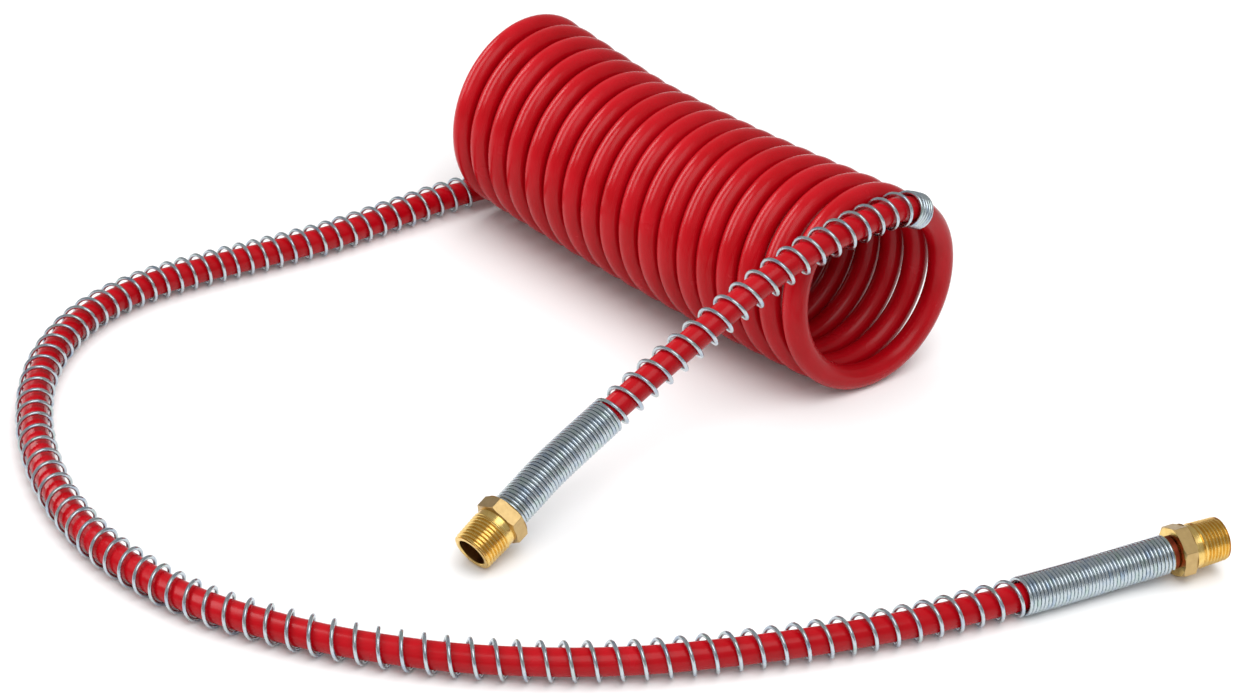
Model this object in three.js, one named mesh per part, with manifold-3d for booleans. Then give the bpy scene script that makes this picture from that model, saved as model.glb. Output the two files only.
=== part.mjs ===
// Coiled air hose: a nylon tube wound into a close coil that lies on its side, with a straight lead
// at each end. A wire spring guards each lead and a brass fitting ends it. The fitting on the long
// lead turns on its stem. Millimetres, +Z up, +X along the coil's axis, standing on z = 0.

import * as THREE from 'three';
import Module from 'manifold-3d';
import { mergeVertices } from 'three/addons/utils/BufferGeometryUtils.js';

const wasm = await Module();
wasm.setup();

// Tube and coil
const TUBE_R = 6.35;
const TUBE_BORE_R = 4.75;
const COIL_TURNS = 18.5;
const COIL_FAR_X = -223.9;    // where the long lead leaves it, at the bottom
const COIL_NEAR_X = 41.7;     // where the short lead leaves it, at the top
const COIL_Y = 170.6;
const COIL_BOW = 6.8;         // how far its middle bows towards -Y
const COIL_MEAN_R = 44.9;
const COIL_FLARE = 2.6;       // how much wider the first turn at the far end is
const COIL_FLARE_TURNS = 7;
const COIL_NEAR_GROWTH = 1.4; // how much wider the last turn at the near end is
const COIL_NEAR_SAG = 2.3;    // how far the near turn's top sinks where the short lead pulls on it
const COIL_SLICES = 9;        // lengthwise steps of the coil's solid
const COIL_SIDES = 40;
const COIL_HALF = (COIL_NEAR_X - COIL_FAR_X) / 2;
const COIL_MID_X = (COIL_NEAR_X + COIL_FAR_X) / 2;

// Spring guards: sleeves of the wire helix's outer and inner size
const GUARD_R = 9.1;
const GUARD_BORE_R = 7.35;
const GUARD_START_ANGLE = 57; // degrees round the near ring where the short lead's guard begins
const ARC_STEP = 11;          // degrees between the points of the short lead on the near ring
const LONG_GUARD_START = 30;  // distance from the coil's end where the long lead's guard begins
const GUARD_STEP = 12;        // spacing of the points that the long guard's centreline is redrawn from
const CHANNEL_MARGIN = 1.2;   // room round a guard where it passes through the coil's envelope

// Ferrules, crimped over the tube inside the guards
const FERRULE_R = 6.98;
const FERRULE_BORE_R = 6.55;
const FERRULE_LENGTH = 24;

// Male pipe fitting, 1/2-14 taper thread; z = 0 is the hexagon's back face, +z towards the nose
const HEX_ACROSS_FLATS = 22.2;
const HEX_THICKNESS = 6.8;
const HEX_CHAMFER = 1;
const NECK_LENGTH = 3.9;
const NECK_R = 10.3;
const THREAD_R = 10.65;       // crest radius next to the neck
const THREAD_PITCH = 25.4 / 14;
const THREAD_TURNS = 8;
const THREAD_DEPTH = 1.1;
const THREAD_TAPER = 1 / 32;  // radius lost for each unit of length
const NOSE_Z = HEX_THICKNESS + NECK_LENGTH + THREAD_TURNS * THREAD_PITCH;
const MOUTH_R = 7.25;
const MOUTH_DEPTH = 11.8;

// Barbed stem, pushed into the tube
const STEM_R = 3.9;
const BARB_R = 4.25;
const STEM_BORE_R = 3;
const STEM_LENGTH = 27;
const BARB_COUNT = 4;
const BARB_PITCH = 5;
const BARB_MARGIN = 2;        // from the stem's tip to its first barb
const TIP_BEVEL = 0.4;

// Swivel joint inside the long lead's fitting
const SWIVEL_BORE_R = 6.9;
const SWIVEL_BORE_DEPTH = 10.8;
const HEAD_R = 6.6;
const HEAD_START = -0.4;
const HEAD_END = 10.4;
const COLLAR_R = 7.85;
const COLLAR_LENGTH = 3.2;
const RING_Z = 2.3;
const RING_R = 6.75;
const RING_WIRE_R = 0.5;
const O_RING_FRONT_Z = 8.3;
const O_RING_REAR_Z = 5.2;
const O_RING_R = 6.08;
const O_RING_WIRE_R = 0.65;
const GROOVE_BOTTOM_R = 5.3;
const RING_GROOVE_BOTTOM_R = 6;
const RING_GROOVE_TOP_R = 7.5;
const GROOVE_MARGIN = 0.3;

const GAP = 0.3;              // left between pieces that touch
const ROUND = 24;             // segments round a fitting
const LEAD_SIDES = 8;
const GUARD_SIDES = 12;
const LEAD_STEP = 17;         // length of one step of a tube or guard
const CHANNEL_POINTS = 8;     // how many points of a lead's centreline its channel follows

// Where the fittings lie: the long lead's on a corner of its hexagon, which lifts it, and the short
// lead's on the rim of its nose
const LONG_PORT = new THREE.Vector3(243.6, 153.4, 12.8);
const LONG_PORT_HEADING = THREE.MathUtils.degToRad(69.5);
const LONG_PORT_DIP = THREE.MathUtils.degToRad(-5.3);
const LONG_PORT_ROLL = THREE.MathUtils.degToRad(-27);
const SHORT_PORT = new THREE.Vector3(36.6, -67.35, 19.1);
const SHORT_PORT_HEADING = THREE.MathUtils.degToRad(-84.8);
const SHORT_PORT_DIP = THREE.MathUtils.degToRad(23.5);
const SHORT_PORT_ROLL = THREE.MathUtils.degToRad(27.6);

// Centrelines from the coil towards the fittings. Each ends in a straight stretch, given as distances
// behind the fitting.
const LONG_ROUTE = [
  [-225, 146, 9], [-228, 124, 9.2], [-230, 87, 9.2], [-232, 47, 9.2], [-238, 10, 9.2],
  [-245, -26, 9.2], [-249, -64, 9.2], [-242, -104, 9.2], [-216, -146, 9.2], [-173, -181, 9.2],
  [-124, -204, 9.2], [-78, -214, 9.2], [-38, -213, 9.2], [-5, -206, 9.2], [23, -194, 9.2],
  [49, -180, 9.2], [72, -164, 9.2], [93, -147, 9.2], [113, -127, 9.2], [131, -106, 9.2],
  [147, -84, 9.2], [162, -59, 9.2], [176, -33, 9.2], [189, -6, 9.2], [200.9, 22.1, 9.2],
  [210.4, 49.9, 9.2], [219.9, 80, 9.2], [225.2, 98.5, 9.2], [229.6, 114.2, 9.35],
];
const SHORT_ROUTE = [
  [41.5, 157, 96.3], [41.4, 143, 95.7], [40.9, 129.4, 94.3], [39.9, 116.3, 91.9],
  [38.7, 103.4, 88.5], [37.4, 90.6, 83.8], [36.2, 78.7, 79], [35.2, 66.5, 73.8],
  [34.3, 54.1, 68.5], [33.8, 41.4, 63.2], [33.4, 28.4, 58.2], [33.3, 15.3, 53],
  [33.2, -5.9, 44.4],
];
const STRAIGHT = [28, 14];

const nylon = new THREE.MeshStandardMaterial({ color: 0xbe1923, roughness: 0.28, metalness: 0 });
const springSteel = new THREE.MeshStandardMaterial({ color: 0xb4bcc0, roughness: 0.3, metalness: 1 });
const brass = new THREE.MeshStandardMaterial({ color: 0xc8a050, roughness: 0.32, metalness: 1 });
const rubber = new THREE.MeshStandardMaterial({ color: 0x141414, roughness: 0.7, metalness: 0 });

const hose = new THREE.Group();

function addPart(name, geometry, material, place) {
  const mesh = new THREE.Mesh(geometry, material);
  mesh.name = name;
  if (place) {
    mesh.position.copy(place.position);
    mesh.quaternion.copy(place.quaternion);
  }
  hose.add(mesh);
  return mesh;
}

// Solids from manifold-3d, for cuts and joins

function toSolid(geometry) {
  const bare = geometry.clone();
  bare.deleteAttribute('normal');
  bare.deleteAttribute('uv');
  const merged = mergeVertices(bare, 1e-4);
  return new wasm.Manifold(new wasm.Mesh({
    numProp: 3,
    vertProperties: new Float32Array(merged.attributes.position.array),
    triVerts: new Uint32Array(merged.index.array),
  }));
}

function toGeometry(solid) {
  const mesh = solid.getMesh();
  const geometry = new THREE.BufferGeometry();
  geometry.setAttribute('position', new THREE.BufferAttribute(mesh.vertProperties, 3));
  geometry.setIndex(new THREE.BufferAttribute(mesh.triVerts, 1));
  geometry.computeVertexNormals();
  return geometry;
}

// A closed outline of [radius, z] points, turned round the z axis
function turned(outline, segments = ROUND) {
  const points = outline.map(([radius, z]) => new THREE.Vector2(radius, z));
  points.push(points[0].clone());
  return new THREE.LatheGeometry(points, segments).rotateX(Math.PI / 2);
}

function cylinder(radius, zStart, zEnd, segments = ROUND) {
  const height = zEnd - zStart;
  const geometry = new THREE.CylinderGeometry(radius, radius, height, segments);
  return geometry.rotateX(Math.PI / 2).translate(0, 0, (zStart + zEnd) / 2);
}

function sleeve(radius, bore, zStart, zEnd, segments = ROUND) {
  return turned([[radius, zStart], [radius, zEnd], [bore, zEnd], [bore, zStart]], segments);
}

function ringOfWire(radius, wireRadius, z) {
  return new THREE.TorusGeometry(radius, wireRadius, 6, ROUND).translate(0, 0, z);
}

function polygon(radius, sides, PathClass = THREE.Shape) {
  const outline = new PathClass();
  for (let i = 0; i < sides; i++) {
    const angle = 2 * Math.PI * i / sides;
    const x = radius * Math.cos(angle);
    const y = radius * Math.sin(angle);
    if (i === 0) outline.moveTo(x, y);
    else outline.lineTo(x, y);
  }
  outline.closePath();
  return outline;
}

// A tube along a curve; a bore of 0 makes it solid
function tubeAlong(curve, radius, sides, bore, stepLength = LEAD_STEP) {
  const section = polygon(radius, sides);
  if (bore > 0) section.holes.push(polygon(bore, sides, THREE.Path));
  const steps = Math.ceil(curve.getLength() / stepLength);
  return new THREE.ExtrudeGeometry(section, { steps, extrudePath: curve, bevelEnabled: false });
}

function splineThrough(points) {
  return new THREE.CatmullRomCurve3(points, false, 'centripetal');
}

// Centrelines

// Unit vector out of a fitting that points to a heading and dips below the horizontal
function outwards(heading, dip) {
  const flat = Math.cos(dip);
  return new THREE.Vector3(flat * Math.cos(heading), flat * Math.sin(heading), -Math.sin(dip));
}

const longOutward = outwards(LONG_PORT_HEADING, LONG_PORT_DIP);
const shortOutward = outwards(SHORT_PORT_HEADING, SHORT_PORT_DIP);

function straightBehind(port, outward, distances) {
  return distances.map((distance) => port.clone().addScaledVector(outward, -distance));
}

function toVectors(route) {
  return route.map((point) => new THREE.Vector3(...point));
}

// Mean radius of the coil after a number of turns from its far end
function coilRadius(turn) {
  const flare = COIL_FLARE * (1 - THREE.MathUtils.smoothstep(turn, 0, COIL_FLARE_TURNS));
  return COIL_MEAN_R + flare + COIL_NEAR_GROWTH * (turn / COIL_TURNS) ** 3;
}

function longLeadPoints(endGap) {
  const atCoil = new THREE.Vector3(COIL_FAR_X, COIL_Y, TUBE_R);
  const straight = straightBehind(LONG_PORT, longOutward, [...STRAIGHT, endGap]);
  return [atCoil, ...toVectors(LONG_ROUTE), ...straight];
}

// The short lead starts on the near ring, part of a turn before it leaves at the top
function shortLeadPoints(endGap) {
  const arc = [];
  const radius = coilRadius(COIL_TURNS);
  const floor = TUBE_R - COIL_NEAR_SAG;
  for (let degrees = GUARD_START_ANGLE; degrees <= 90; degrees += ARC_STEP) {
    const angle = THREE.MathUtils.degToRad(degrees);
    const y = COIL_Y + radius * Math.cos(angle);
    arc.push(new THREE.Vector3(COIL_NEAR_X, y, floor + radius * (1 + Math.sin(angle))));
  }
  const straight = straightBehind(SHORT_PORT, shortOutward, [...STRAIGHT, endGap]);
  return [...arc, ...toVectors(SHORT_ROUTE), ...straight];
}

// The stretch of a centreline that starts a given distance along it
function from(curve, distance) {
  const length = curve.getLength();
  const count = Math.ceil((length - distance) / GUARD_STEP);
  const points = [];
  for (let i = 0; i <= count; i++) {
    const share = distance / length + (1 - distance / length) * i / count;
    points.push(curve.getPointAt(Math.min(share, 1)));
  }
  return splineThrough(points);
}

// Coil: a bowed, slightly flared hollow cylinder with a channel where each lead leaves it

// One wall of the cylinder as points from end to end, at an offset from the turns' mean radius
function coilWall(offset) {
  const points = [];
  for (let slice = 0; slice <= COIL_SLICES; slice++) {
    const along = slice / COIL_SLICES;
    const radius = coilRadius(along * COIL_TURNS) + offset;
    points.push([radius, (2 * along - 1) * (COIL_HALF + TUBE_R)]);
  }
  return points;
}

function coilEnvelope() {
  const outline = [...coilWall(TUBE_R), ...coilWall(-TUBE_R).reverse()];
  const geometry = turned(outline, COIL_SIDES).rotateY(Math.PI / 2);
  const position = geometry.attributes.position;
  for (let i = 0; i < position.count; i++) {
    const x = position.getX(i);
    const along = THREE.MathUtils.clamp((x + COIL_HALF) / (2 * COIL_HALF), 0, 1);
    const bow = 4 * COIL_BOW * along * (1 - along);
    const axisHeight = TUBE_R + coilRadius(along * COIL_TURNS);
    position.setX(i, x + COIL_MID_X);
    position.setY(i, position.getY(i) + COIL_Y - bow);
    position.setZ(i, position.getZ(i) + axisHeight);
  }
  return geometry;
}

// What the coil leaves free for a lead: its first stretch, started a gap early and made wider
function leadChannel(points) {
  const first = points[0];
  const back = first.clone().sub(points[1]).setLength(GAP);
  const stretch = splineThrough([first.clone().add(back), ...points.slice(0, CHANNEL_POINTS)]);
  return toSolid(tubeAlong(stretch, GUARD_R + CHANNEL_MARGIN, GUARD_SIDES, 0, GUARD_STEP));
}

// The cuts can leave a loose sliver, which is dropped
function largestBody(solid) {
  return solid.decompose().reduce((a, b) => (a.volume() > b.volume() ? a : b));
}

function coilSolid() {
  const shortChannel = leadChannel(shortLeadPoints(0));
  const longChannel = leadChannel(longLeadPoints(0));
  const cut = toSolid(coilEnvelope()).subtract(shortChannel).subtract(longChannel);
  return toGeometry(largestBody(cut));
}

// Fittings

function chamferedHexagon() {
  const corner = HEX_ACROSS_FLATS / Math.sqrt(3);
  const blank = toSolid(new THREE.CylinderGeometry(corner, corner, HEX_THICKNESS, 6)
    .rotateX(Math.PI / 2).rotateZ(Math.PI / 6).translate(0, 0, HEX_THICKNESS / 2));
  const face = corner - HEX_CHAMFER;
  const chamfer = HEX_CHAMFER / 2;
  const turnedBlank = toSolid(turned([
    [0, 0], [face, 0], [corner, chamfer], [corner, HEX_THICKNESS - chamfer],
    [face, HEX_THICKNESS], [0, HEX_THICKNESS],
  ]));
  return blank.intersect(turnedBlank);
}

function threadedNose() {
  const start = HEX_THICKNESS - 1;
  const threadStart = HEX_THICKNESS + NECK_LENGTH;
  const outline = [[0, start], [NECK_R, start], [NECK_R, threadStart]];
  for (let turn = 0; turn < THREAD_TURNS; turn++) {
    const crestZ = threadStart + (turn + 0.5) * THREAD_PITCH;
    const rootZ = threadStart + (turn + 1) * THREAD_PITCH;
    outline.push([THREAD_R - (crestZ - threadStart) * THREAD_TAPER, crestZ]);
    outline.push([THREAD_R - THREAD_DEPTH - (rootZ - threadStart) * THREAD_TAPER, rootZ]);
  }
  outline.push([0, NOSE_Z]);
  return toSolid(turned(outline));
}

function mouth() {
  return toSolid(cylinder(MOUTH_R, NOSE_Z - MOUTH_DEPTH, NOSE_Z + 1));
}

function barbedShank(zEnd) {
  const outline = [[0, zEnd], [0, -STEM_LENGTH], [STEM_R - TIP_BEVEL, -STEM_LENGTH]];
  for (let barb = 0; barb < BARB_COUNT; barb++) {
    const z = -STEM_LENGTH + BARB_MARGIN + barb * BARB_PITCH;
    outline.push([BARB_R, z], [STEM_R, z + TIP_BEVEL]);
  }
  outline.push([STEM_R, zEnd]);
  return toSolid(turned(outline));
}

function airway(zStart, zEnd) {
  return toSolid(cylinder(STEM_BORE_R, zStart, zEnd, 16));
}

function shortEndBody() {
  const body = chamferedHexagon().add(threadedNose()).add(barbedShank(1));
  return toGeometry(body.subtract(mouth()).subtract(airway(-STEM_LENGTH - 1, NOSE_Z)));
}

function swivelBody() {
  const bore = toSolid(cylinder(SWIVEL_BORE_R, -1, SWIVEL_BORE_DEPTH));
  const ringGroove = toSolid(cylinder(RING_GROOVE_TOP_R,
    RING_Z - RING_WIRE_R - GROOVE_MARGIN, RING_Z + RING_WIRE_R + GROOVE_MARGIN));
  const throat = airway(0, NOSE_Z);
  const body = chamferedHexagon().add(threadedNose());
  return toGeometry(body.subtract(mouth()).subtract(bore).subtract(ringGroove).subtract(throat));
}

function groove(z, bottom, wireRadius) {
  const half = wireRadius + GROOVE_MARGIN;
  return [[HEAD_R, z - half], [bottom, z - half], [bottom, z + half], [HEAD_R, z + half]];
}

function longEndStem() {
  const collarStart = HEAD_START - COLLAR_LENGTH;
  const head = toSolid(turned([
    [0, collarStart], [COLLAR_R, collarStart], [COLLAR_R, HEAD_START], [HEAD_R, HEAD_START],
    ...groove(RING_Z, RING_GROOVE_BOTTOM_R, RING_WIRE_R),
    ...groove(O_RING_REAR_Z, GROOVE_BOTTOM_R, O_RING_WIRE_R),
    ...groove(O_RING_FRONT_Z, GROOVE_BOTTOM_R, O_RING_WIRE_R),
    [HEAD_R, HEAD_END], [0, HEAD_END],
  ]));
  const stem = head.add(barbedShank(collarStart + 1));
  return toGeometry(stem.subtract(airway(-STEM_LENGTH - 1, HEAD_END + 1)));
}

// Turns a fitting's own +z to a direction, after a roll about it
function placeAt(port, outward, roll) {
  const along = outward.clone().normalize();
  const side = new THREE.Vector3(0, 0, 1).cross(along).normalize();
  const up = along.clone().cross(side);
  const turn = new THREE.Matrix4().makeBasis(side, up, along);
  turn.multiply(new THREE.Matrix4().makeRotationZ(roll));
  return { position: port, quaternion: new THREE.Quaternion().setFromRotationMatrix(turn) };
}

// Assembly

const longEnd = placeAt(LONG_PORT, longOutward, LONG_PORT_ROLL);
const shortEnd = placeAt(SHORT_PORT, shortOutward, SHORT_PORT_ROLL);
const longTubeEnd = COLLAR_LENGTH - HEAD_START + GAP;
const longLead = splineThrough(longLeadPoints(longTubeEnd));
const shortLead = splineThrough(shortLeadPoints(GAP));

addPart('hose_coil', coilSolid(), nylon);
addPart('long_lead_tube', tubeAlong(longLead, TUBE_R, LEAD_SIDES, TUBE_BORE_R), nylon);
addPart('short_lead_tube', tubeAlong(shortLead, TUBE_R, LEAD_SIDES, TUBE_BORE_R), nylon);
const longGuardLine = from(longLead, LONG_GUARD_START);
addPart('long_lead_guard', tubeAlong(longGuardLine, GUARD_R, GUARD_SIDES, GUARD_BORE_R), springSteel);
addPart('short_lead_guard', tubeAlong(shortLead, GUARD_R, GUARD_SIDES, GUARD_BORE_R), springSteel);

addPart('short_end_body', shortEndBody(), brass, shortEnd);
addPart('short_end_ferrule', sleeve(FERRULE_R, FERRULE_BORE_R, -FERRULE_LENGTH, -GAP), brass, shortEnd);

const ferruleStart = -longTubeEnd - FERRULE_LENGTH;
addPart('long_end_stem', longEndStem(), brass, longEnd);
addPart('long_end_ferrule', sleeve(FERRULE_R, FERRULE_BORE_R, ferruleStart, -longTubeEnd), brass, longEnd);
addPart('swivel_body', swivelBody(), brass, longEnd);
addPart('swivel_retaining_ring', ringOfWire(RING_R, RING_WIRE_R, RING_Z), springSteel, longEnd);
addPart('swivel_o_ring_rear', ringOfWire(O_RING_R, O_RING_WIRE_R, O_RING_REAR_Z), rubber, longEnd);
addPart('swivel_o_ring_front', ringOfWire(O_RING_R, O_RING_WIRE_R, O_RING_FRONT_Z), rubber, longEnd);

export default hose;
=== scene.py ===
"""Looks of the coiled air hose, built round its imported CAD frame. Metres, +Z up."""

from math import cos, pi, radians, sin

import bmesh
import bpy
import numpy as np
from mathutils import Matrix, Vector


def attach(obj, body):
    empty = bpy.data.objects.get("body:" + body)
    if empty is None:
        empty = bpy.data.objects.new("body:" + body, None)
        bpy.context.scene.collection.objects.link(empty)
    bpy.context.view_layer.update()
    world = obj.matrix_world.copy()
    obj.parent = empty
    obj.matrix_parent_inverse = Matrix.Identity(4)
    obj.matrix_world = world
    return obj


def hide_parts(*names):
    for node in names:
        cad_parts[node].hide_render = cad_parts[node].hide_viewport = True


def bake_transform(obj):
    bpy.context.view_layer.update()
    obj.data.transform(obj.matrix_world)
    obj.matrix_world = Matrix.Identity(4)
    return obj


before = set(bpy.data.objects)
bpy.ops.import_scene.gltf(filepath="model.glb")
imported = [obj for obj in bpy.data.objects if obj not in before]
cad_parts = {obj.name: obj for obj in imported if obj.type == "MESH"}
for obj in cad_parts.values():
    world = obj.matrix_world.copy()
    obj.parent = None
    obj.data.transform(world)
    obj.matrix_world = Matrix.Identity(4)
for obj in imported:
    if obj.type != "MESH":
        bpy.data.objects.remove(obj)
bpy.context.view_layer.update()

# Tube and coil, with the CAD's own sizes
TUBE_R = 0.00635
TUBE_BORE_R = 0.00475
COIL_TURNS = 18.5
COIL_FAR_X = -0.2239
COIL_Y = 0.1706
COIL_BOW = 0.0068          # how far its middle bows towards -Y
COIL_MEAN_R = 0.0449
COIL_FLARE = 0.0026        # how much wider the first turn is
COIL_FLARE_TURNS = 7
COIL_NEAR_GROWTH = 0.0014
COIL_NEAR_SAG = 0.0023
COIL_NEAR_PUSH = 0.0012
COIL_SWING = 0.25          # the last part of a turn, which the short lead pulls on
FIRST_PITCH = 0.0154       # the turns lie closer and closer towards the near end
PITCH_LOSS = 0.00012
OPENING = 0.0043           # the last turns at the near end spread again
OPENING_TURNS = 4.0
LEAN_SINE = -0.092         # how far a turn leans along X, top against bottom
LEAN_SINE_START = 6        # the turn where that lean starts
LEAN_SINE_TURNS = 8        # and the turns that it takes to grow
LEAN_COSINE = 0.05         # how far a turn leans along X, one side against the other
LEAN_COSINE_START = 9
LEAN_COSINE_TURNS = 8
COIL_STEPS = 36            # centreline points in a turn
SPLINE_STEPS = 8           # steps between two points of a centreline
RING_STEP = 0.0033
RING_SIDES = 24
BORE_STRIDE = 3            # the bore wall has a ring for every third one outside

# Spring guards
WIRE_R = 0.00095
GUARD_HELIX_R = 0.00825
CLOSE_PITCH = 0.00196
WIRE_STEPS = 24            # rings in a turn of wire
WIRE_SIDES = 10
WIRE_SAMPLES = 4000        # places along a guard where its turns are added up
GUARD_SAMPLES = 600        # points that the long guard's centreline is redrawn from
GUARD_START_ANGLE = 57     # degrees round the near ring
ARC_STEP = 11              # degrees between the short guard's points on that ring
LONG_GUARD_START = 0.03    # from the coil's end
LONG_CLOSE = 0.0770
LONG_PITCHES = [           # (distance from the guard's start, pitch), as it lies stretched and bunched
    (0, 0.0097), (0.070, 0.0098), (0.140, 0.0082), (0.190, 0.0084), (0.280, 0.0102),
    (0.400, 0.0112), (0.500, 0.00935), (0.580, 0.0100), (0.860, 0.0104),
]
LONG_PHASE = radians(-58)
SHORT_CLOSE = 0.0686
SHORT_PITCH = 0.0100
SHORT_PHASE = radians(97)
SHORT_FIRST_TURNS = 4
PITCH_RAMP = 0.004         # length over which a guard's pitch changes
TUBE_DROP = 0.0004         # the tube lies on the inside of its guard

# Fittings; z = 0 is the hexagon's back face, +z towards the nose
HEX_ACROSS_FLATS = 0.0222
HEX_THICKNESS = 0.0068
HEX_FACE_R = 0.0116
HEX_CHAMFER_SLOPE = 0.5
HEX_CORNER = radians(0.5)  # half the angle that a bevel takes off each corner
HEX_FACE_STEPS = 15        # columns across one side
NECK_R = 0.0103
NECK_LENGTH = 0.0039
THREAD_R = 0.01065
THREAD_PITCH = 0.0254 / 14
THREAD_TURNS = 8
THREAD_DEPTH = 0.0011
THREAD_TAPER = 1 / 32
THREAD_PROFILE = [(0, 1), (0.09, 1), (0.44, 0), (0.56, 0), (0.91, 1)]  # (share of a turn, depth)
THREAD_RUN_IN = 1.2        # turns over which the thread cuts to full depth
THREAD_LEAD_DEPTH = 0.25   # share of the depth that it starts with
NECK_UNDERCUT = 0.0006
NOSE_R = 0.0096
NOSE_SLOPE = 0.75
NOSE_FACE = 0.0005         # where the thread stops before the nose's face
NOSE_EDGE = 0.0004
NOSE_Z = HEX_THICKNESS + NECK_LENGTH + THREAD_TURNS * THREAD_PITCH
MOUTH_R = 0.00725
MOUTH_DEPTH = 0.0118
MOUTH_LIP = 0.0003
MOUTH_FILLET = 0.0006
STEM_R = 0.0039
STEM_BORE_R = 0.003
STEM_LENGTH = 0.027
BARB_R = 0.00425
BARB_COUNT = 4
BARB_PITCH = 0.005
BARB_MARGIN = 0.002        # from the stem's tip to its first barb
BARB_STEP = 0.0004
BARB_SLOPE = 0.0018
OVERLAP = 0.0001           # how far the shank's outline starts below its body
COLLAR_R = 0.00785
COLLAR_LENGTH = 0.0032
HEAD_R = 0.0066
HEAD_START = -0.0004
HEAD_END = 0.0104
HEAD_BEVEL = 0.0004
SWIVEL_BORE_R = 0.0069
SWIVEL_BORE_DEPTH = 0.0108
SWIVEL_BEVEL = 0.0003
RING_Z = 0.0023
RING_R = 0.00675
RING_WIRE_R = 0.0005
RING_GAP_ANGLE = 0.35      # the snap ring's opening
O_RING_Z = {"rear": 0.0052, "front": 0.0083}
O_RING_R = 0.00608
O_RING_WIRE_R = 0.00065
GROOVE_BOTTOM_R = 0.0053
RING_GROOVE_BOTTOM_R = 0.006
RING_GROOVE_TOP_R = 0.0075
GROOVE_MARGIN = 0.0003
FERRULE_R = 0.00698
FERRULE_BORE_R = 0.00655
FERRULE_LENGTH = 0.024
FERRULE_EDGE = 0.0002
CRIMP_BANDS = 3
CRIMP_START = 0.005        # from the sleeve's end to its first crimped band
CRIMP_PITCH = 0.007
CRIMP_DEPTH = 0.00022
CRIMP_HALF = 0.0009        # half a band's flat, and the length of each of its slopes
ROUND_STEPS = 64           # columns round a turned piece
SLEEVE_STEPS = 48
RING_STEPS = 72
RING_SECTION = 14
GAP = 0.0003               # left between pieces that touch
LONG_TUBE_END = COLLAR_LENGTH - HEAD_START + GAP

# Where the fittings lie
LONG_PORT = np.array([0.2436, 0.1534, 0.0128])
LONG_HEADING = radians(69.5)
LONG_DIP = radians(-5.3)
LONG_ROLL = radians(-27)
SHORT_PORT = np.array([0.0366, -0.06735, 0.0191])
SHORT_HEADING = radians(-84.8)
SHORT_DIP = radians(23.5)
SHORT_ROLL = radians(27.6)

# Centrelines from the coil towards the fittings, as in the CAD
LONG_ROUTE = [
    (-0.225, 0.146, 0.009), (-0.228, 0.124, 0.0092), (-0.230, 0.087, 0.0092),
    (-0.232, 0.047, 0.0092), (-0.238, 0.010, 0.0092), (-0.245, -0.026, 0.0092),
    (-0.249, -0.064, 0.0092), (-0.242, -0.104, 0.0092), (-0.216, -0.146, 0.0092),
    (-0.173, -0.181, 0.0092), (-0.124, -0.204, 0.0092), (-0.078, -0.214, 0.0092),
    (-0.038, -0.213, 0.0092), (-0.005, -0.206, 0.0092), (0.023, -0.194, 0.0092),
    (0.049, -0.180, 0.0092), (0.072, -0.164, 0.0092), (0.093, -0.147, 0.0092),
    (0.113, -0.127, 0.0092), (0.131, -0.106, 0.0092), (0.147, -0.084, 0.0092),
    (0.162, -0.059, 0.0092), (0.176, -0.033, 0.0092), (0.189, -0.006, 0.0092),
    (0.2009, 0.0221, 0.0092), (0.2104, 0.0499, 0.0092), (0.2199, 0.080, 0.0092),
    (0.2252, 0.0985, 0.0092), (0.2296, 0.1142, 0.00935),
]
SHORT_ROUTE = [
    (0.0415, 0.157, 0.0963), (0.0414, 0.143, 0.0957), (0.0409, 0.1294, 0.0943),
    (0.0399, 0.1163, 0.0919), (0.0387, 0.1034, 0.0885), (0.0374, 0.0906, 0.0838),
    (0.0362, 0.0787, 0.079), (0.0352, 0.0665, 0.0738), (0.0343, 0.0541, 0.0685),
    (0.0338, 0.0414, 0.0632), (0.0334, 0.0284, 0.0582), (0.0333, 0.0153, 0.053),
    (0.0332, -0.0059, 0.0444),
]
STRAIGHT = [0.028, 0.014]  # distances behind a fitting

# Camera
CAMERA_PLACE = Vector((0.8564, -0.8283, 0.7682))
CAMERA_HEADING = Vector((-0.7197, 0.6943, 0))
CAMERA_DIP = radians(30.456)
CAMERA_ROLL = radians(2.714)
CAMERA_LENS = 86.54
CAMERA_SHIFT = (0.04437, -0.00625)

# Studio; powers in watts
KEY_POWER = 18
TOP_POWER = 14
FILL_POWER = 24
FLOOR_POWER = 60
WORLD_STRENGTH = 0.42
FLOOR_HALF = 6.0
FLOOR_DROP = 0.0002


# Curves

def smooth(x):
    x = np.clip(x, 0, 1)
    return x * x * (3 - 2 * x)


def unit(vectors):
    return vectors / np.linalg.norm(vectors, axis=-1, keepdims=True)


def spline(points):
    """A centripetal Catmull-Rom curve through the points, with SPLINE_STEPS between two of them."""
    p = np.asarray(points, float)
    p = np.vstack([2 * p[0] - p[1], p, 2 * p[-1] - p[-2]])
    out = []
    for a, b, c, d in zip(p, p[1:], p[2:], p[3:]):
        ta, tb, tc = (np.linalg.norm(u - v) ** 0.5 for u, v in ((b, a), (c, b), (d, c)))
        m0 = ((b - a) / ta - (c - a) / (ta + tb) + (c - b) / tb) * tb
        m1 = ((c - b) / tb - (d - b) / (tb + tc) + (d - c) / tc) * tb
        t = (np.arange(SPLINE_STEPS) / SPLINE_STEPS)[:, None]
        start = (2 * t**3 - 3 * t**2 + 1) * b + (t**3 - 2 * t**2 + t) * m0
        out.append(start + (3 * t**2 - 2 * t**3) * c + (t**3 - t**2) * m1)
    return np.vstack([*out, p[-2:-1]])


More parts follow.
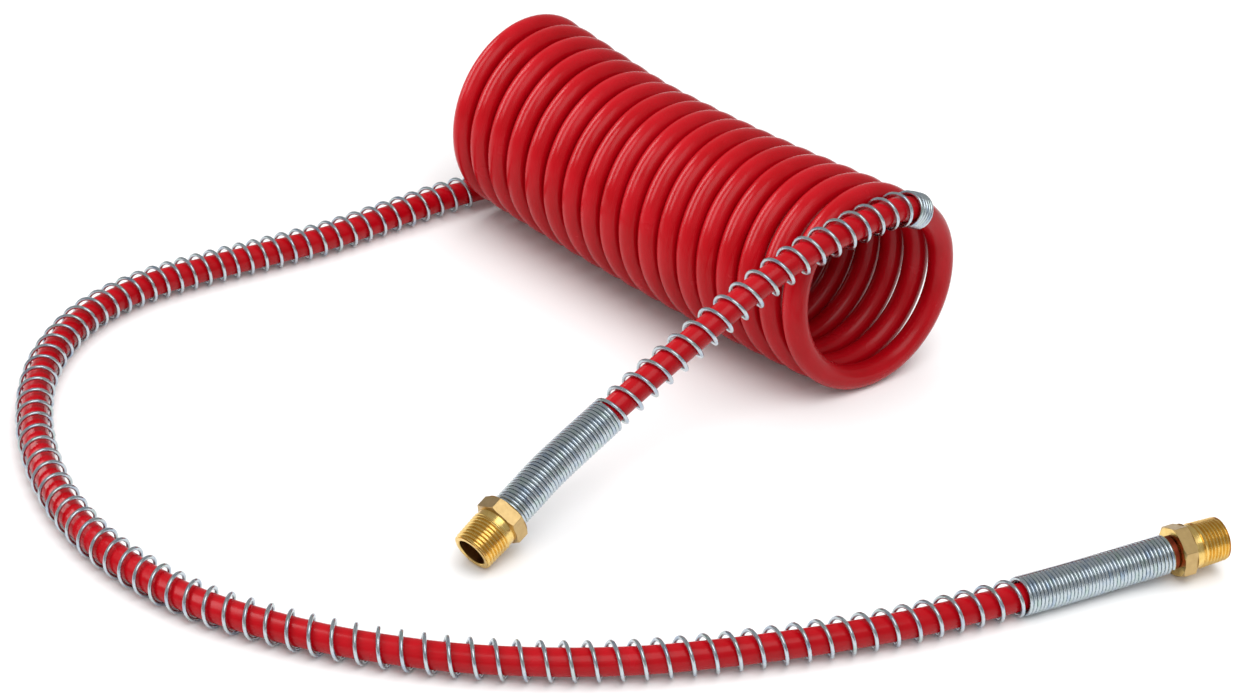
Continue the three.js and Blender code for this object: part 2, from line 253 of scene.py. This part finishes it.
class Line:
    """A curve measured along its length, with a frame that follows it but doesn't twist."""

    def __init__(self, points):
        self.points = points
        steps = np.linalg.norm(np.diff(points, axis=0), axis=1)
        self.reach = np.concatenate([[0], np.cumsum(steps)])
        self.length = self.reach[-1]
        self.tangents = unit(np.gradient(points, self.reach, axis=0))
        side = np.cross(self.tangents[0], (0, 0, 1))
        normals = []
        for tangent in self.tangents:
            side = unit(side - tangent * (side @ tangent))
            normals.append(side)
        self.normals = np.array(normals)

    def _read(self, values, distances):
        return np.column_stack([np.interp(distances, self.reach, column) for column in values.T])

    def at(self, distances):
        return self._read(self.points, distances)

    def frame(self, distances):
        tangents = unit(self._read(self.tangents, distances))
        normals = self._read(self.normals, distances)
        normals = unit(normals - tangents * np.sum(normals * tangents, axis=1)[:, None])
        return tangents, normals, np.cross(tangents, normals)


def coil_point(turns):
    """The coil's centreline after a number of turns from its far end."""
    angle = 2 * pi * turns - pi / 2
    up, across = sin(angle), cos(angle)
    share = turns / COIL_TURNS
    left = COIL_TURNS - turns
    radius = COIL_MEAN_R + COIL_FLARE * (1 - smooth(turns / COIL_FLARE_TURNS))
    radius += COIL_NEAR_GROWTH * share**3
    swing = smooth(1 - left / COIL_SWING)
    x = COIL_FAR_X + FIRST_PITCH * turns - PITCH_LOSS / 2 * turns**2
    x += OPENING * max(1 - left / OPENING_TURNS, 0) ** 2 + COIL_NEAR_PUSH * swing
    x += radius * up * LEAN_SINE * smooth((turns - LEAN_SINE_START) / LEAN_SINE_TURNS)
    x += radius * across * LEAN_COSINE * smooth((turns - LEAN_COSINE_START) / LEAN_COSINE_TURNS)
    y = COIL_Y - 4 * COIL_BOW * share * (1 - share) + radius * across
    return (x, y, TUBE_R + radius * (1 + up) - COIL_NEAR_SAG * swing)


def outwards(heading, dip):
    return np.array([cos(dip) * cos(heading), cos(dip) * sin(heading), -sin(dip)])


LONG_OUTWARD = outwards(LONG_HEADING, LONG_DIP)
SHORT_OUTWARD = outwards(SHORT_HEADING, SHORT_DIP)


def straight_behind(port, outward, gap):
    return [port - outward * distance for distance in (*STRAIGHT, gap)]


def long_lead(shift):
    """Points from the coil to the long lead's fitting, shifted in height between the two."""
    route = [(x, y, z + shift) for x, y, z in LONG_ROUTE]
    return [*route, *straight_behind(LONG_PORT, LONG_OUTWARD, LONG_TUBE_END)]


def short_lead(shift):
    """The same for the short lead. The shift grows over its first points, which start on the coil."""
    route = [(x, y, z + shift * smooth(i / 4)) for i, (x, y, z) in enumerate(SHORT_ROUTE)]
    return [*route, *straight_behind(SHORT_PORT, SHORT_OUTWARD, GAP)]


# Meshes

def new_piece(name, points, faces, materials, sharp_angle=None):
    mesh = bpy.data.meshes.new(name)
    mesh.from_pydata([tuple(p) for p in points], [], faces)
    mesh.shade_smooth()
    if sharp_angle:
        mesh.set_sharp_from_angle(angle=sharp_angle)
    for material in materials:
        mesh.materials.append(material)
    piece = bpy.data.objects.new(name, mesh)
    bpy.context.scene.collection.objects.link(piece)
    return piece


def set_space(piece, values):
    """Texture coordinates that follow the piece's own making, in metres."""
    attribute = piece.data.attributes.new("making", "FLOAT_VECTOR", "POINT")
    attribute.data.foreach_set("vector", np.asarray(values, np.float32).ravel())


def skin(rings, sides, first=0):
    """Quads between each ring and the next one, which face away from the rings' middle."""
    faces = []
    for ring in range(rings - 1):
        for side in range(sides):
            a = first + ring * sides + side
            b = first + ring * sides + (side + 1) % sides
            faces.append((a, b, b + sides, a + sides))
    return faces


def ring_points(centres, normals, binormals, radius, sides):
    angles = np.arange(sides) * 2 * pi / sides
    across = np.cos(angles)[None, :, None] * normals[:, None, :]
    across = across + np.sin(angles)[None, :, None] * binormals[:, None, :]
    return (centres[:, None, :] + radius * across).reshape(-1, 3)


def ring_space(distances, radius, sides):
    angles = np.arange(sides) * 2 * pi / sides
    flat = np.column_stack([radius * np.cos(angles), radius * np.sin(angles)])
    return np.array([(x, y, d) for d in distances for x, y in flat])


def hollow_tube(line, distances):
    """Points, texture space and faces of the tube, with its bore and both ends."""
    inner = distances[::BORE_STRIDE]
    if inner[-1] < distances[-1]:
        inner = np.append(inner, distances[-1])
    points, space = [], []
    for stations, radius in ((distances, TUBE_R), (inner, TUBE_BORE_R)):
        _, normals, binormals = line.frame(stations)
        points.append(ring_points(line.at(stations), normals, binormals, radius, RING_SIDES))
        space.append(ring_space(stations, radius, RING_SIDES))
    bore = len(points[0])
    faces = skin(len(distances), RING_SIDES)
    faces += [face[::-1] for face in skin(len(inner), RING_SIDES, bore)]
    last, last_bore = bore - RING_SIDES, bore + len(points[1]) - RING_SIDES
    for side in range(RING_SIDES):
        after = (side + 1) % RING_SIDES
        faces.append((after, side, bore + side, bore + after))
        faces.append((last + side, last + after, last_bore + after, last_bore + side))
    return np.vstack(points), np.vstack(space), faces


def build_hose(materials):
    """The whole tube, from the long lead's fitting through the coil to the short lead's."""
    lead = long_lead(-TUBE_DROP)[::-1]
    coil = [coil_point(i / COIL_STEPS) for i in range(round(COIL_TURNS * COIL_STEPS) + 1)]
    line = Line(spline([*lead, *coil, *short_lead(0)]))
    distances = np.linspace(0, line.length, round(line.length / RING_STEP) + 1)
    points, space, faces = hollow_tube(line, distances)
    hose = new_piece("air_hose", points, faces, materials)
    set_space(hose, space)
    coil_start = line.reach[len(lead) * SPLINE_STEPS]
    guard_turn = COIL_TURNS - (90 - GUARD_START_ANGLE) / 360
    coil_end = line.reach[(len(lead) + round(guard_turn * COIL_STEPS)) * SPLINE_STEPS]
    weights = np.clip((space[:, 2] - coil_start) / (coil_end - coil_start), 0, 1)
    return hose, line, distances, weights, coil_start, coil_end


def wind_wire(name, line, pitches, phase, materials):
    """A round wire wound about a line. pitches are (distance, pitch) pairs along it."""
    fine = np.linspace(0, line.length, WIRE_SAMPLES)
    places, values = zip(*pitches)
    per_metre = 1 / np.interp(fine, places, values)
    turns = np.concatenate([[0], np.cumsum((per_metre[1:] + per_metre[:-1]) / 2 * np.diff(fine))])
    count = round(turns[-1] * WIRE_STEPS)
    turn = np.linspace(0, turns[-1], count + 1)
    distances = np.interp(turn, turns, fine)
    _, normals, binormals = line.frame(distances)
    angles = phase + 2 * pi * turn
    radial = normals * np.cos(angles)[:, None] + binormals * np.sin(angles)[:, None]
    centres = line.at(distances) + radial * GUARD_HELIX_R
    tangents = unit(np.gradient(centres, axis=0))
    out = unit(radial - tangents * np.sum(radial * tangents, axis=1)[:, None])
    points = ring_points(centres, out, np.cross(tangents, out), WIRE_R, WIRE_SIDES)
    faces = skin(count + 1, WIRE_SIDES)
    last = len(points) - WIRE_SIDES
    faces.append(tuple(reversed(range(WIRE_SIDES))))
    faces.append(tuple(range(last, last + WIRE_SIDES)))
    wire = new_piece(name, points, faces, materials, radians(60))
    set_space(wire, ring_space(turn * 2 * pi * GUARD_HELIX_R, WIRE_R, WIRE_SIDES))
    return wire


def build_guards(materials):
    short_points = [coil_point(COIL_TURNS - (90 - degrees) / 360)
                    for degrees in range(GUARD_START_ANGLE, 90, ARC_STEP)]
    short = Line(spline([*short_points, coil_point(COIL_TURNS), *short_lead(-TUBE_DROP)]))
    first = SHORT_FIRST_TURNS * CLOSE_PITCH
    close = short.length - SHORT_CLOSE
    short_wire = wind_wire("short_guard_wire", short, [
        (first, CLOSE_PITCH), (first + PITCH_RAMP, SHORT_PITCH),
        (close - PITCH_RAMP, SHORT_PITCH), (close, CLOSE_PITCH),
    ], SHORT_PHASE, materials)
    whole = Line(spline([coil_point(0), *long_lead(0)]))
    long = Line(whole.at(np.linspace(LONG_GUARD_START, whole.length, GUARD_SAMPLES)))
    close = long.length - LONG_CLOSE
    pitches = [*LONG_PITCHES, (close - PITCH_RAMP, LONG_PITCHES[-1][1]), (close, CLOSE_PITCH)]
    long_wire = wind_wire("long_guard_wire", long, pitches, LONG_PHASE, materials)
    return short_wire, long_wire


# Fittings

def fitting_place(port, outward, roll):
    """Turns a fitting's own +z to its outward direction, after a roll about it."""
    side = unit(np.cross((0, 0, 1), outward))
    basis = np.column_stack([side, np.cross(outward, side), outward])
    turn = np.array([[cos(roll), -sin(roll), 0], [sin(roll), cos(roll), 0], [0, 0, 1]])
    return basis @ turn, port


LONG_PLACE = fitting_place(LONG_PORT, LONG_OUTWARD, LONG_ROLL)
SHORT_PLACE = fitting_place(SHORT_PORT, SHORT_OUTWARD, SHORT_ROLL)


def sweep_round(name, profile, angles, place, materials, sharp_angle=radians(28), choose=None):
    """A body turned round z. profile(angle) gives its closed outline of (radius, z) at an angle,
    and choose(radius, z) the index of a face's material."""
    columns = [profile(angle) for angle in angles]
    size = len(columns[0])
    local = np.array([(r * cos(a), r * sin(a), z)
                      for a, column in zip(angles, columns) for r, z in column])
    faces = []
    for column in range(len(angles) - 1):
        for level in range(size):
            a = column * size + level
            b = column * size + (level + 1) % size
            faces.append((a, b, b + size, a + size))
    made = bmesh.new()
    for point in local:
        made.verts.new(point)
    made.verts.ensure_lookup_table()
    for face in faces:
        made.faces.new([made.verts[i] for i in face])
    bmesh.ops.remove_doubles(made, verts=made.verts, dist=2e-6)
    bmesh.ops.dissolve_degenerate(made, edges=made.edges, dist=1e-6)
    bmesh.ops.recalc_face_normals(made, faces=made.faces)
    points = np.array([v.co for v in made.verts])
    made.verts.index_update()
    kept = [[v.index for v in f.verts] for f in made.faces]
    made.free()
    turn, port = place
    piece = new_piece(name, points @ turn.T + port, kept, materials, sharp_angle)
    set_space(piece, points)
    if choose:
        for polygon in piece.data.polygons:
            middle = np.mean([points[i] for i in polygon.vertices], axis=0)
            polygon.material_index = choose(np.hypot(middle[0], middle[1]), middle[2])
    return piece


def even_angles(count):
    return [2 * pi * i / count for i in range(count + 1)]


def hexagon_angles():
    """Angles that put an edge on each side of a corner, which bevels it by a hair."""
    one = [HEX_CORNER + (pi / 3 - 2 * HEX_CORNER) * i / HEX_FACE_STEPS
           for i in range(HEX_FACE_STEPS + 1)]
    return [0.0, *[k * pi / 3 + a for k in range(6) for a in one], 2 * pi]


def hexagon_radius(angle):
    """Distance to the hexagon's side, with its corners cut by a hair."""
    inside = min(max(angle % (pi / 3), HEX_CORNER), pi / 3 - HEX_CORNER)
    return HEX_ACROSS_FLATS / 2 / cos(inside - pi / 6)


def hexagon_outline(angle):
    """The outside of a hexagon with both ends turned to a cone, from its back face to its front."""
    side = hexagon_radius(angle)
    drop = max(side - HEX_FACE_R, 0) * HEX_CHAMFER_SLOPE
    return [(HEX_FACE_R, 0), (side, drop), (side, HEX_THICKNESS - drop),
            (HEX_FACE_R, HEX_THICKNESS)]


def thread_outline(angle):
    """Neck, helical taper thread and rounded nose, from the hexagon to the mouth's edge."""
    start = HEX_THICKNESS + NECK_LENGTH
    end = NOSE_Z - NOSE_FACE
    levels = []
    for turn in range(-1, THREAD_TURNS + 1):
        base = start + (turn + angle / (2 * pi)) * THREAD_PITCH
        levels += [(base + share * THREAD_PITCH, depth) for share, depth in THREAD_PROFILE]
    outline = [(NECK_R, HEX_THICKNESS), (NECK_R, start - NECK_UNDERCUT)]
    for z, depth in levels:
        inside = min(max(z, start), end)
        cut = smooth((inside - start) / (THREAD_RUN_IN * THREAD_PITCH))
        crest = THREAD_R - (inside - start) * THREAD_TAPER
        share = THREAD_LEAD_DEPTH + (1 - THREAD_LEAD_DEPTH) * cut
        nose = NOSE_R + (NOSE_Z - inside) * NOSE_SLOPE
        outline.append((min(crest - THREAD_DEPTH * depth * share, nose), inside))
    return outline


def mouth_outline():
    """The nose's face, the mouth and the shoulder at its bottom."""
    bottom = NOSE_Z - MOUTH_DEPTH
    return [(NOSE_R - NOSE_EDGE, NOSE_Z), (MOUTH_R + MOUTH_LIP, NOSE_Z),
            (MOUTH_R, NOSE_Z - NOSE_EDGE), (MOUTH_R, bottom + MOUTH_FILLET),
            (MOUTH_R - MOUTH_FILLET, bottom)]


def shank_outline(start):
    """The barbed shank's outside, from where it starts to its tip, and back through its bore."""
    outline = [(STEM_R, start)]
    for barb in reversed(range(BARB_COUNT)):
        z = -STEM_LENGTH + BARB_MARGIN + barb * BARB_PITCH
        outline += [(STEM_R, z + BARB_STEP), (BARB_R, z), (STEM_R, z - BARB_SLOPE)]
    return [*outline, (STEM_BORE_R, -STEM_LENGTH)]


def nose_material(radius, z):
    """0 for the milled hexagon, 1 for turned surfaces and 2 for the inside, whose darker brass is
    painted shade.
    """
    if radius < MOUTH_R + 0.0001 and z > 0:
        return 2
    if z <= HEX_THICKNESS + 1e-5 and radius > NECK_R:
        return 0
    return 1


def build_short_body(materials):
    def profile(angle):
        return [(STEM_R, 0), *hexagon_outline(angle), *thread_outline(angle), *mouth_outline(),
                (STEM_BORE_R, NOSE_Z - MOUTH_DEPTH), *reversed(shank_outline(-OVERLAP))]
    return sweep_round("short_fitting_body", profile, hexagon_angles(), SHORT_PLACE, materials,
                       choose=nose_material)


def groove(z, wire_radius, edge, bottom):
    """A groove for a ring of wire, from its front side to its back. Its edges are at one radius."""
    half = wire_radius + GROOVE_MARGIN
    return [(edge, z + half), (bottom, z + half), (bottom, z - half), (edge, z - half)]


def build_swivel(materials):
    bore = SWIVEL_BORE_R
    ring_groove = groove(RING_Z, RING_WIRE_R, bore, RING_GROOVE_TOP_R)

    def profile(angle):
        return [(bore + SWIVEL_BEVEL, 0), *hexagon_outline(angle), *thread_outline(angle),
                *mouth_outline(), (STEM_BORE_R, NOSE_Z - MOUTH_DEPTH),
                (STEM_BORE_R, SWIVEL_BORE_DEPTH), (bore, SWIVEL_BORE_DEPTH), *ring_groove,
                (bore, SWIVEL_BEVEL)]
    return sweep_round("swivel_fitting_body", profile, hexagon_angles(), LONG_PLACE, materials,
                       choose=nose_material)


def build_stem(materials):
    collar = HEAD_START - COLLAR_LENGTH
    outline = [(STEM_BORE_R, HEAD_END), (HEAD_R - HEAD_BEVEL, HEAD_END),
               (HEAD_R, HEAD_END - HEAD_BEVEL),
               *groove(O_RING_Z["front"], O_RING_WIRE_R, HEAD_R, GROOVE_BOTTOM_R),
               *groove(O_RING_Z["rear"], O_RING_WIRE_R, HEAD_R, GROOVE_BOTTOM_R),
               *groove(RING_Z, RING_WIRE_R, HEAD_R, RING_GROOVE_BOTTOM_R), (HEAD_R, HEAD_START),
               (COLLAR_R - SWIVEL_BEVEL, HEAD_START), (COLLAR_R, HEAD_START - SWIVEL_BEVEL),
               (COLLAR_R, collar + HEAD_BEVEL), (COLLAR_R - HEAD_BEVEL, collar),
               (STEM_R, collar), *shank_outline(collar - OVERLAP)]
    # The collar's faces get the second material, whose dark red-brown is painted shade with a painted
    # reflection of the red tube
    return sweep_round("swivel_stem_turned", lambda angle: outline, even_angles(ROUND_STEPS),
                       LONG_PLACE, materials,
                       choose=lambda r, z: 1 if r > HEAD_R and z < 0 else 0)


def build_ferrule(name, end, place, materials):
    """A thin sleeve with crimped bands and a bevelled edge."""
    start = end - FERRULE_LENGTH
    bottom = FERRULE_R - CRIMP_DEPTH
    outline = [(FERRULE_BORE_R, end), (FERRULE_R, end)]
    for band in range(CRIMP_BANDS):
        z = end - CRIMP_START - band * CRIMP_PITCH
        outline += [(FERRULE_R, z + 2 * CRIMP_HALF), (bottom, z + CRIMP_HALF),
                    (bottom, z - CRIMP_HALF), (FERRULE_R, z - 2 * CRIMP_HALF)]
    outline += [(FERRULE_R, start + FERRULE_EDGE), (FERRULE_R - FERRULE_EDGE, start),
                (FERRULE_BORE_R, start)]
    return sweep_round(name, lambda angle: outline, even_angles(SLEEVE_STEPS), place, materials)


def build_ring(name, radius, wire_radius, z, place, materials, opening=0.0):
    """A ring of round section about a fitting's axis, with an opening if it is a snap ring."""
    angles = np.linspace(opening / 2, 2 * pi - opening / 2, RING_STEPS + 1)
    if not opening:
        angles = angles[:-1]
    points = []
    for a in angles:
        for b in even_angles(RING_SECTION)[:-1]:
            out = radius + wire_radius * cos(b)
            points.append((out * cos(a), out * sin(a), z + wire_radius * sin(b)))
    faces = skin(len(angles), RING_SECTION)
    last = len(points) - RING_SECTION
    if opening:
        faces.append(tuple(reversed(range(RING_SECTION))))
        faces.append(tuple(range(last, last + RING_SECTION)))
    else:
        faces += [(last + s, last + (s + 1) % RING_SECTION, (s + 1) % RING_SECTION, s)
                  for s in range(RING_SECTION)]
    faces = [face[::-1] for face in faces]
    turn, port = place
    piece = new_piece(name, np.array(points) @ turn.T + port, faces, materials, radians(60))
    set_space(piece, points)
    return piece


# Materials

class Look:
    """A material's node tree, with short calls to add nodes and join them."""

    def __init__(self, name):
        self.material = bpy.data.materials.new(name)
        self.material.use_nodes = True
        self.tree = self.material.node_tree
        self.shader = self.tree.nodes["Principled BSDF"]

    def add(self, kind, **inputs):
        node = self.tree.nodes.new("ShaderNode" + kind)
        for name, value in inputs.items():
            socket = node.inputs[name.replace("_", " ")]
            if isinstance(value, bpy.types.NodeSocket):
                self.tree.links.new(value, socket)
            else:
                socket.default_value = value
        return node

    def join(self, output, name):
        self.tree.links.new(output, self.shader.inputs[name])

    def set(self, **values):
        for name, value in values.items():
            self.shader.inputs[name.replace("_", " ")].default_value = value

    def making(self, scale=(1, 1, 1)):
        """The piece's own texture coordinates, stretched."""
        attribute = self.tree.nodes.new("ShaderNodeAttribute")
        attribute.attribute_name = "making"
        return self.add("Mapping", Vector=attribute.outputs["Vector"], Scale=scale).outputs["Vector"]

    def noise(self, vector, scale, detail=2.0, roughness=0.5):
        node = self.add("TexNoise", Vector=vector, Scale=scale, Detail=detail, Roughness=roughness)
        return node.outputs["Fac"]

    def ramp(self, value, *stops):
        """Colours or greys at places between 0 and 1."""
        node = self.add("ValToRGB", Fac=value)
        elements = node.color_ramp.elements
        while len(elements) < len(stops):
            elements.new(0.5)
        for element, (place, colour) in zip(elements, stops):
            element.position = place
            grey = (colour,) * 3 if isinstance(colour, float) else colour
            element.color = (*grey, 1)
        return node.outputs["Color"]

    def bump(self, height, distance, strength=1.0, below=None):
        node = self.add("Bump", Height=height, Distance=distance, Strength=strength)
        if below:
            self.tree.links.new(below, node.inputs["Normal"])
        return node.outputs["Normal"]


def nylon_look():
    look = Look("red_nylon")
    look.set(IOR=1.53, Specular_IOR_Level=0.18)
    along = look.making()
    cloud = look.noise(along, 60, 3)
    look.join(look.ramp(cloud, (0.3, (0.32, 0.001, 0.004)), (0.7, (0.37, 0.002, 0.007))),
              "Base Color")
    drawn = look.noise(look.making((1, 1, 0.02)), 2500, 2)
    look.join(look.ramp(cloud, (0.3, 0.2), (0.7, 0.28)), "Roughness")
    grain = look.noise(along, 900, 3)
    fine = look.bump(grain, 0.00002, 0.5)
    look.join(look.bump(drawn, 0.00001, 0.5, fine), "Normal")
    return look.material


def zinc_look():
    look = Look("zinc_wire")
    look.set(Metallic=1.0)
    along = look.making()
    tint = look.noise(along, 120, 2)
    look.join(look.ramp(tint, (0.3, (0.33, 0.42, 0.53)), (0.5, (0.52, 0.58, 0.62)),
                        (0.7, (0.42, 0.52, 0.50))), "Base Color")
    grain = look.noise(look.making((1, 1, 0.2)), 2500, 3)
    look.join(look.ramp(grain, (0.3, 0.2), (0.7, 0.3)), "Roughness")
    look.join(look.bump(grain, 0.00001, 0.6), "Normal")
    return look.material


def brass_look(name, colour, dark, roughness, grain_scale, grain_depth, stretch):
    look = Look(name)
    look.set(Metallic=1.0)
    cloud = look.noise(look.making(), 350, 4)
    look.join(look.ramp(cloud, (0.3, dark), (0.7, colour)), "Base Color")
    grain = look.noise(look.making(stretch), grain_scale, 4, 0.6)
    look.join(look.ramp(grain, (0.3, roughness), (0.7, roughness * 1.5)), "Roughness")
    look.join(look.bump(grain, grain_depth, 0.8), "Normal")
    return look.material


def rubber_look():
    look = Look("seal_rubber")
    grain = look.noise(look.making(), 3000, 3)
    look.join(look.ramp(grain, (0.3, (0.012, 0.012, 0.013)), (0.7, (0.02, 0.02, 0.021))),
              "Base Color")
    look.join(look.ramp(grain, (0.3, 0.5), (0.7, 0.65)), "Roughness")
    look.join(look.bump(grain, 0.00001, 0.6), "Normal")
    return look.material


def floor_look():
    look = Look("pale_floor")
    look.set(Base_Color=(0.86, 0.86, 0.86, 1), Roughness=0.7)
    return look.material


# Scene

def add_camera():
    data = bpy.data.cameras.new("camera")
    data.sensor_width = 36
    data.lens = CAMERA_LENS
    data.shift_x, data.shift_y = CAMERA_SHIFT
    camera = bpy.data.objects.new("camera", data)
    bpy.context.scene.collection.objects.link(camera)
    heading = CAMERA_HEADING.normalized()
    forward = heading * cos(CAMERA_DIP) - Vector((0, 0, sin(CAMERA_DIP)))
    level = heading.cross(Vector((0, 0, 1)))
    upright = level.cross(forward)
    right = level * cos(CAMERA_ROLL) + upright * sin(CAMERA_ROLL)
    up = upright * cos(CAMERA_ROLL) - level * sin(CAMERA_ROLL)
    turn = Matrix((right, up, -forward)).transposed().to_4x4()
    camera.matrix_world = Matrix.Translation(CAMERA_PLACE) @ turn
    bpy.context.scene.camera = camera


def add_softbox(name, target, direction, distance, long_side, size, power, glossy=True, only=None):
    """An area light that faces the target, with its height along long_side. With only, it lights
    just that object."""
    data = bpy.data.lights.new(name, "AREA")
    data.shape = "RECTANGLE"
    data.size, data.size_y = size
    data.energy = power
    light = bpy.data.objects.new(name, data)
    bpy.context.scene.collection.objects.link(light)
    back = Vector(direction).normalized()
    up = Vector(long_side)
    up = (up - back * up.dot(back)).normalized()
    turn = Matrix((up.cross(back), up, back)).transposed().to_4x4()
    light.matrix_world = Matrix.Translation(Vector(target) + back * distance) @ turn
    light.visible_glossy = glossy
    if only:
        lit = bpy.data.collections.new(name + "_lit")
        lit.objects.link(only)
        light.light_linking.receiver_collection = lit


def add_lights(hose, floor):
    """Two narrow keys give the tube its paired streaks, a broad one overhead lights everything,
    two fills soften the shadows and one more keeps the floor white."""
    coil_middle = (-0.09, 0.165, 0.05)
    along_turn = (0, -0.767, -0.641)
    for name, direction in (("key_left", (-0.868, -0.288, 0.402)),
                            ("key_right", (-0.259, -0.635, 0.726))):
        add_softbox(name, coil_middle, direction, 1.7, along_turn, (0.62, 1.5), KEY_POWER, only=hose)
    add_softbox("key_top", (0.1, 0, 0), (0.45, -0.15, 0.88), 2.0, (0, 1, 0), (1.4, 1.4), TOP_POWER)
    add_softbox("fill_front", (0, 0, 0), (0.55, -0.6, 0.6), 3.0, (0, 0, 1), (2.4, 2.0),
                FILL_POWER, glossy=False)
    add_softbox("fill_top", (0, 0, 0), (0, 0.2, 1), 2.4, (0, 1, 0), (3.0, 3.0),
                FILL_POWER, glossy=False)
    add_softbox("floor_light", (0, 0, 0), (0, 0, 1), 3.0, (0, 1, 0), (4.0, 4.0),
                FLOOR_POWER, glossy=False, only=floor)
    world = bpy.data.worlds.new("studio")
    world.use_nodes = True
    world.node_tree.nodes["Background"].inputs["Color"].default_value = (1, 1, 1, 1)
    world.node_tree.nodes["Background"].inputs["Strength"].default_value = WORLD_STRENGTH
    bpy.context.scene.world = world


def add_floor():
    half = FLOOR_HALF
    corners = [(-half, -half, 0), (half, -half, 0), (half, half, 0), (-half, half, 0)]
    mesh = bpy.data.meshes.new("floor")
    mesh.from_pydata(corners, [], [(0, 1, 2, 3)])
    mesh.materials.append(floor_look())
    floor = bpy.data.objects.new("floor", mesh)
    floor.location.z = -FLOOR_DROP
    bpy.context.scene.collection.objects.link(floor)
    return floor


def finish_piece(piece, body, slot, *nodes):
    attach(piece, body)
    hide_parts(*nodes)


def main():
    bpy.context.scene.view_settings.view_transform = "Standard"
    add_camera()
    nylon = nylon_look()
    zinc = zinc_look()
    satin = brass_look("brass_milled", (0.55, 0.39, 0.175), (0.48, 0.33, 0.14), 0.3, 1500,
                       0.00002, (1, 1, 1))
    bright = brass_look("brass_turned", (0.86, 0.62, 0.22), (0.74, 0.49, 0.14), 0.2, 900,
                        0.000008, (0.03, 0.03, 1))
    # Darker brass for the mouth and bore: painted shade in the recess
    inside = brass_look("brass_inside_painted_shade", (0.42, 0.23, 0.08), (0.28, 0.14, 0.05), 0.3, 900,
                        0.00001, (0.03, 0.03, 1))
    # Dark red-brown for the stem's collar: painted shade, with a painted reflection of the red tube
    collar_painted_shade = brass_look("brass_painted_shade_red_reflection", (0.30, 0.06, 0.03), (0.2, 0.04, 0.02), 0.35, 900,
                         0.00001, (0.03, 0.03, 1))
    rubber = rubber_look()

    hose, line, distances, weights, coil_start, coil_end = build_hose([nylon])
    line.at([coil_start])[0]
    line.at([coil_end])[0]
    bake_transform(hose)
    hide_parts("hose_coil", "long_lead_tube", "short_lead_tube")

    short_wire, long_wire = build_guards([zinc])
    finish_piece(short_wire, "short_end", "zinc_spring", "short_lead_guard")
    finish_piece(long_wire, "hose", "zinc_spring", "long_lead_guard")

    short_body = build_short_body([satin, bright, inside])
    finish_piece(short_body, "short_end", "brass", "short_end_body")
    swivel = build_swivel([satin, bright, inside])
    finish_piece(swivel, "swivel", "brass", "swivel_body")
    stem = build_stem([bright, collar_painted_shade])
    finish_piece(stem, "hose", "brass", "long_end_stem")
    short_ferrule = build_ferrule("short_crimp_sleeve", -GAP, SHORT_PLACE, [bright])
    finish_piece(short_ferrule, "short_end", "brass", "short_end_ferrule")
    long_ferrule = build_ferrule("long_crimp_sleeve", -LONG_TUBE_END, LONG_PLACE, [bright])
    finish_piece(long_ferrule, "hose", "brass", "long_end_ferrule")
    retaining = build_ring("swivel_snap_ring", RING_R, RING_WIRE_R, RING_Z, LONG_PLACE, [zinc],
                           RING_GAP_ANGLE)
    finish_piece(retaining, "swivel", "zinc_spring", "swivel_retaining_ring")
    for side, z in O_RING_Z.items():
        seal = build_ring("swivel_seal_" + side, O_RING_R, O_RING_WIRE_R, z, LONG_PLACE, [rubber])
        finish_piece(seal, "hose", "seal_rubber", "swivel_o_ring_" + side)

    line.at([0])[0]
    line.at(distances)
    add_lights(hose, add_floor())


main()
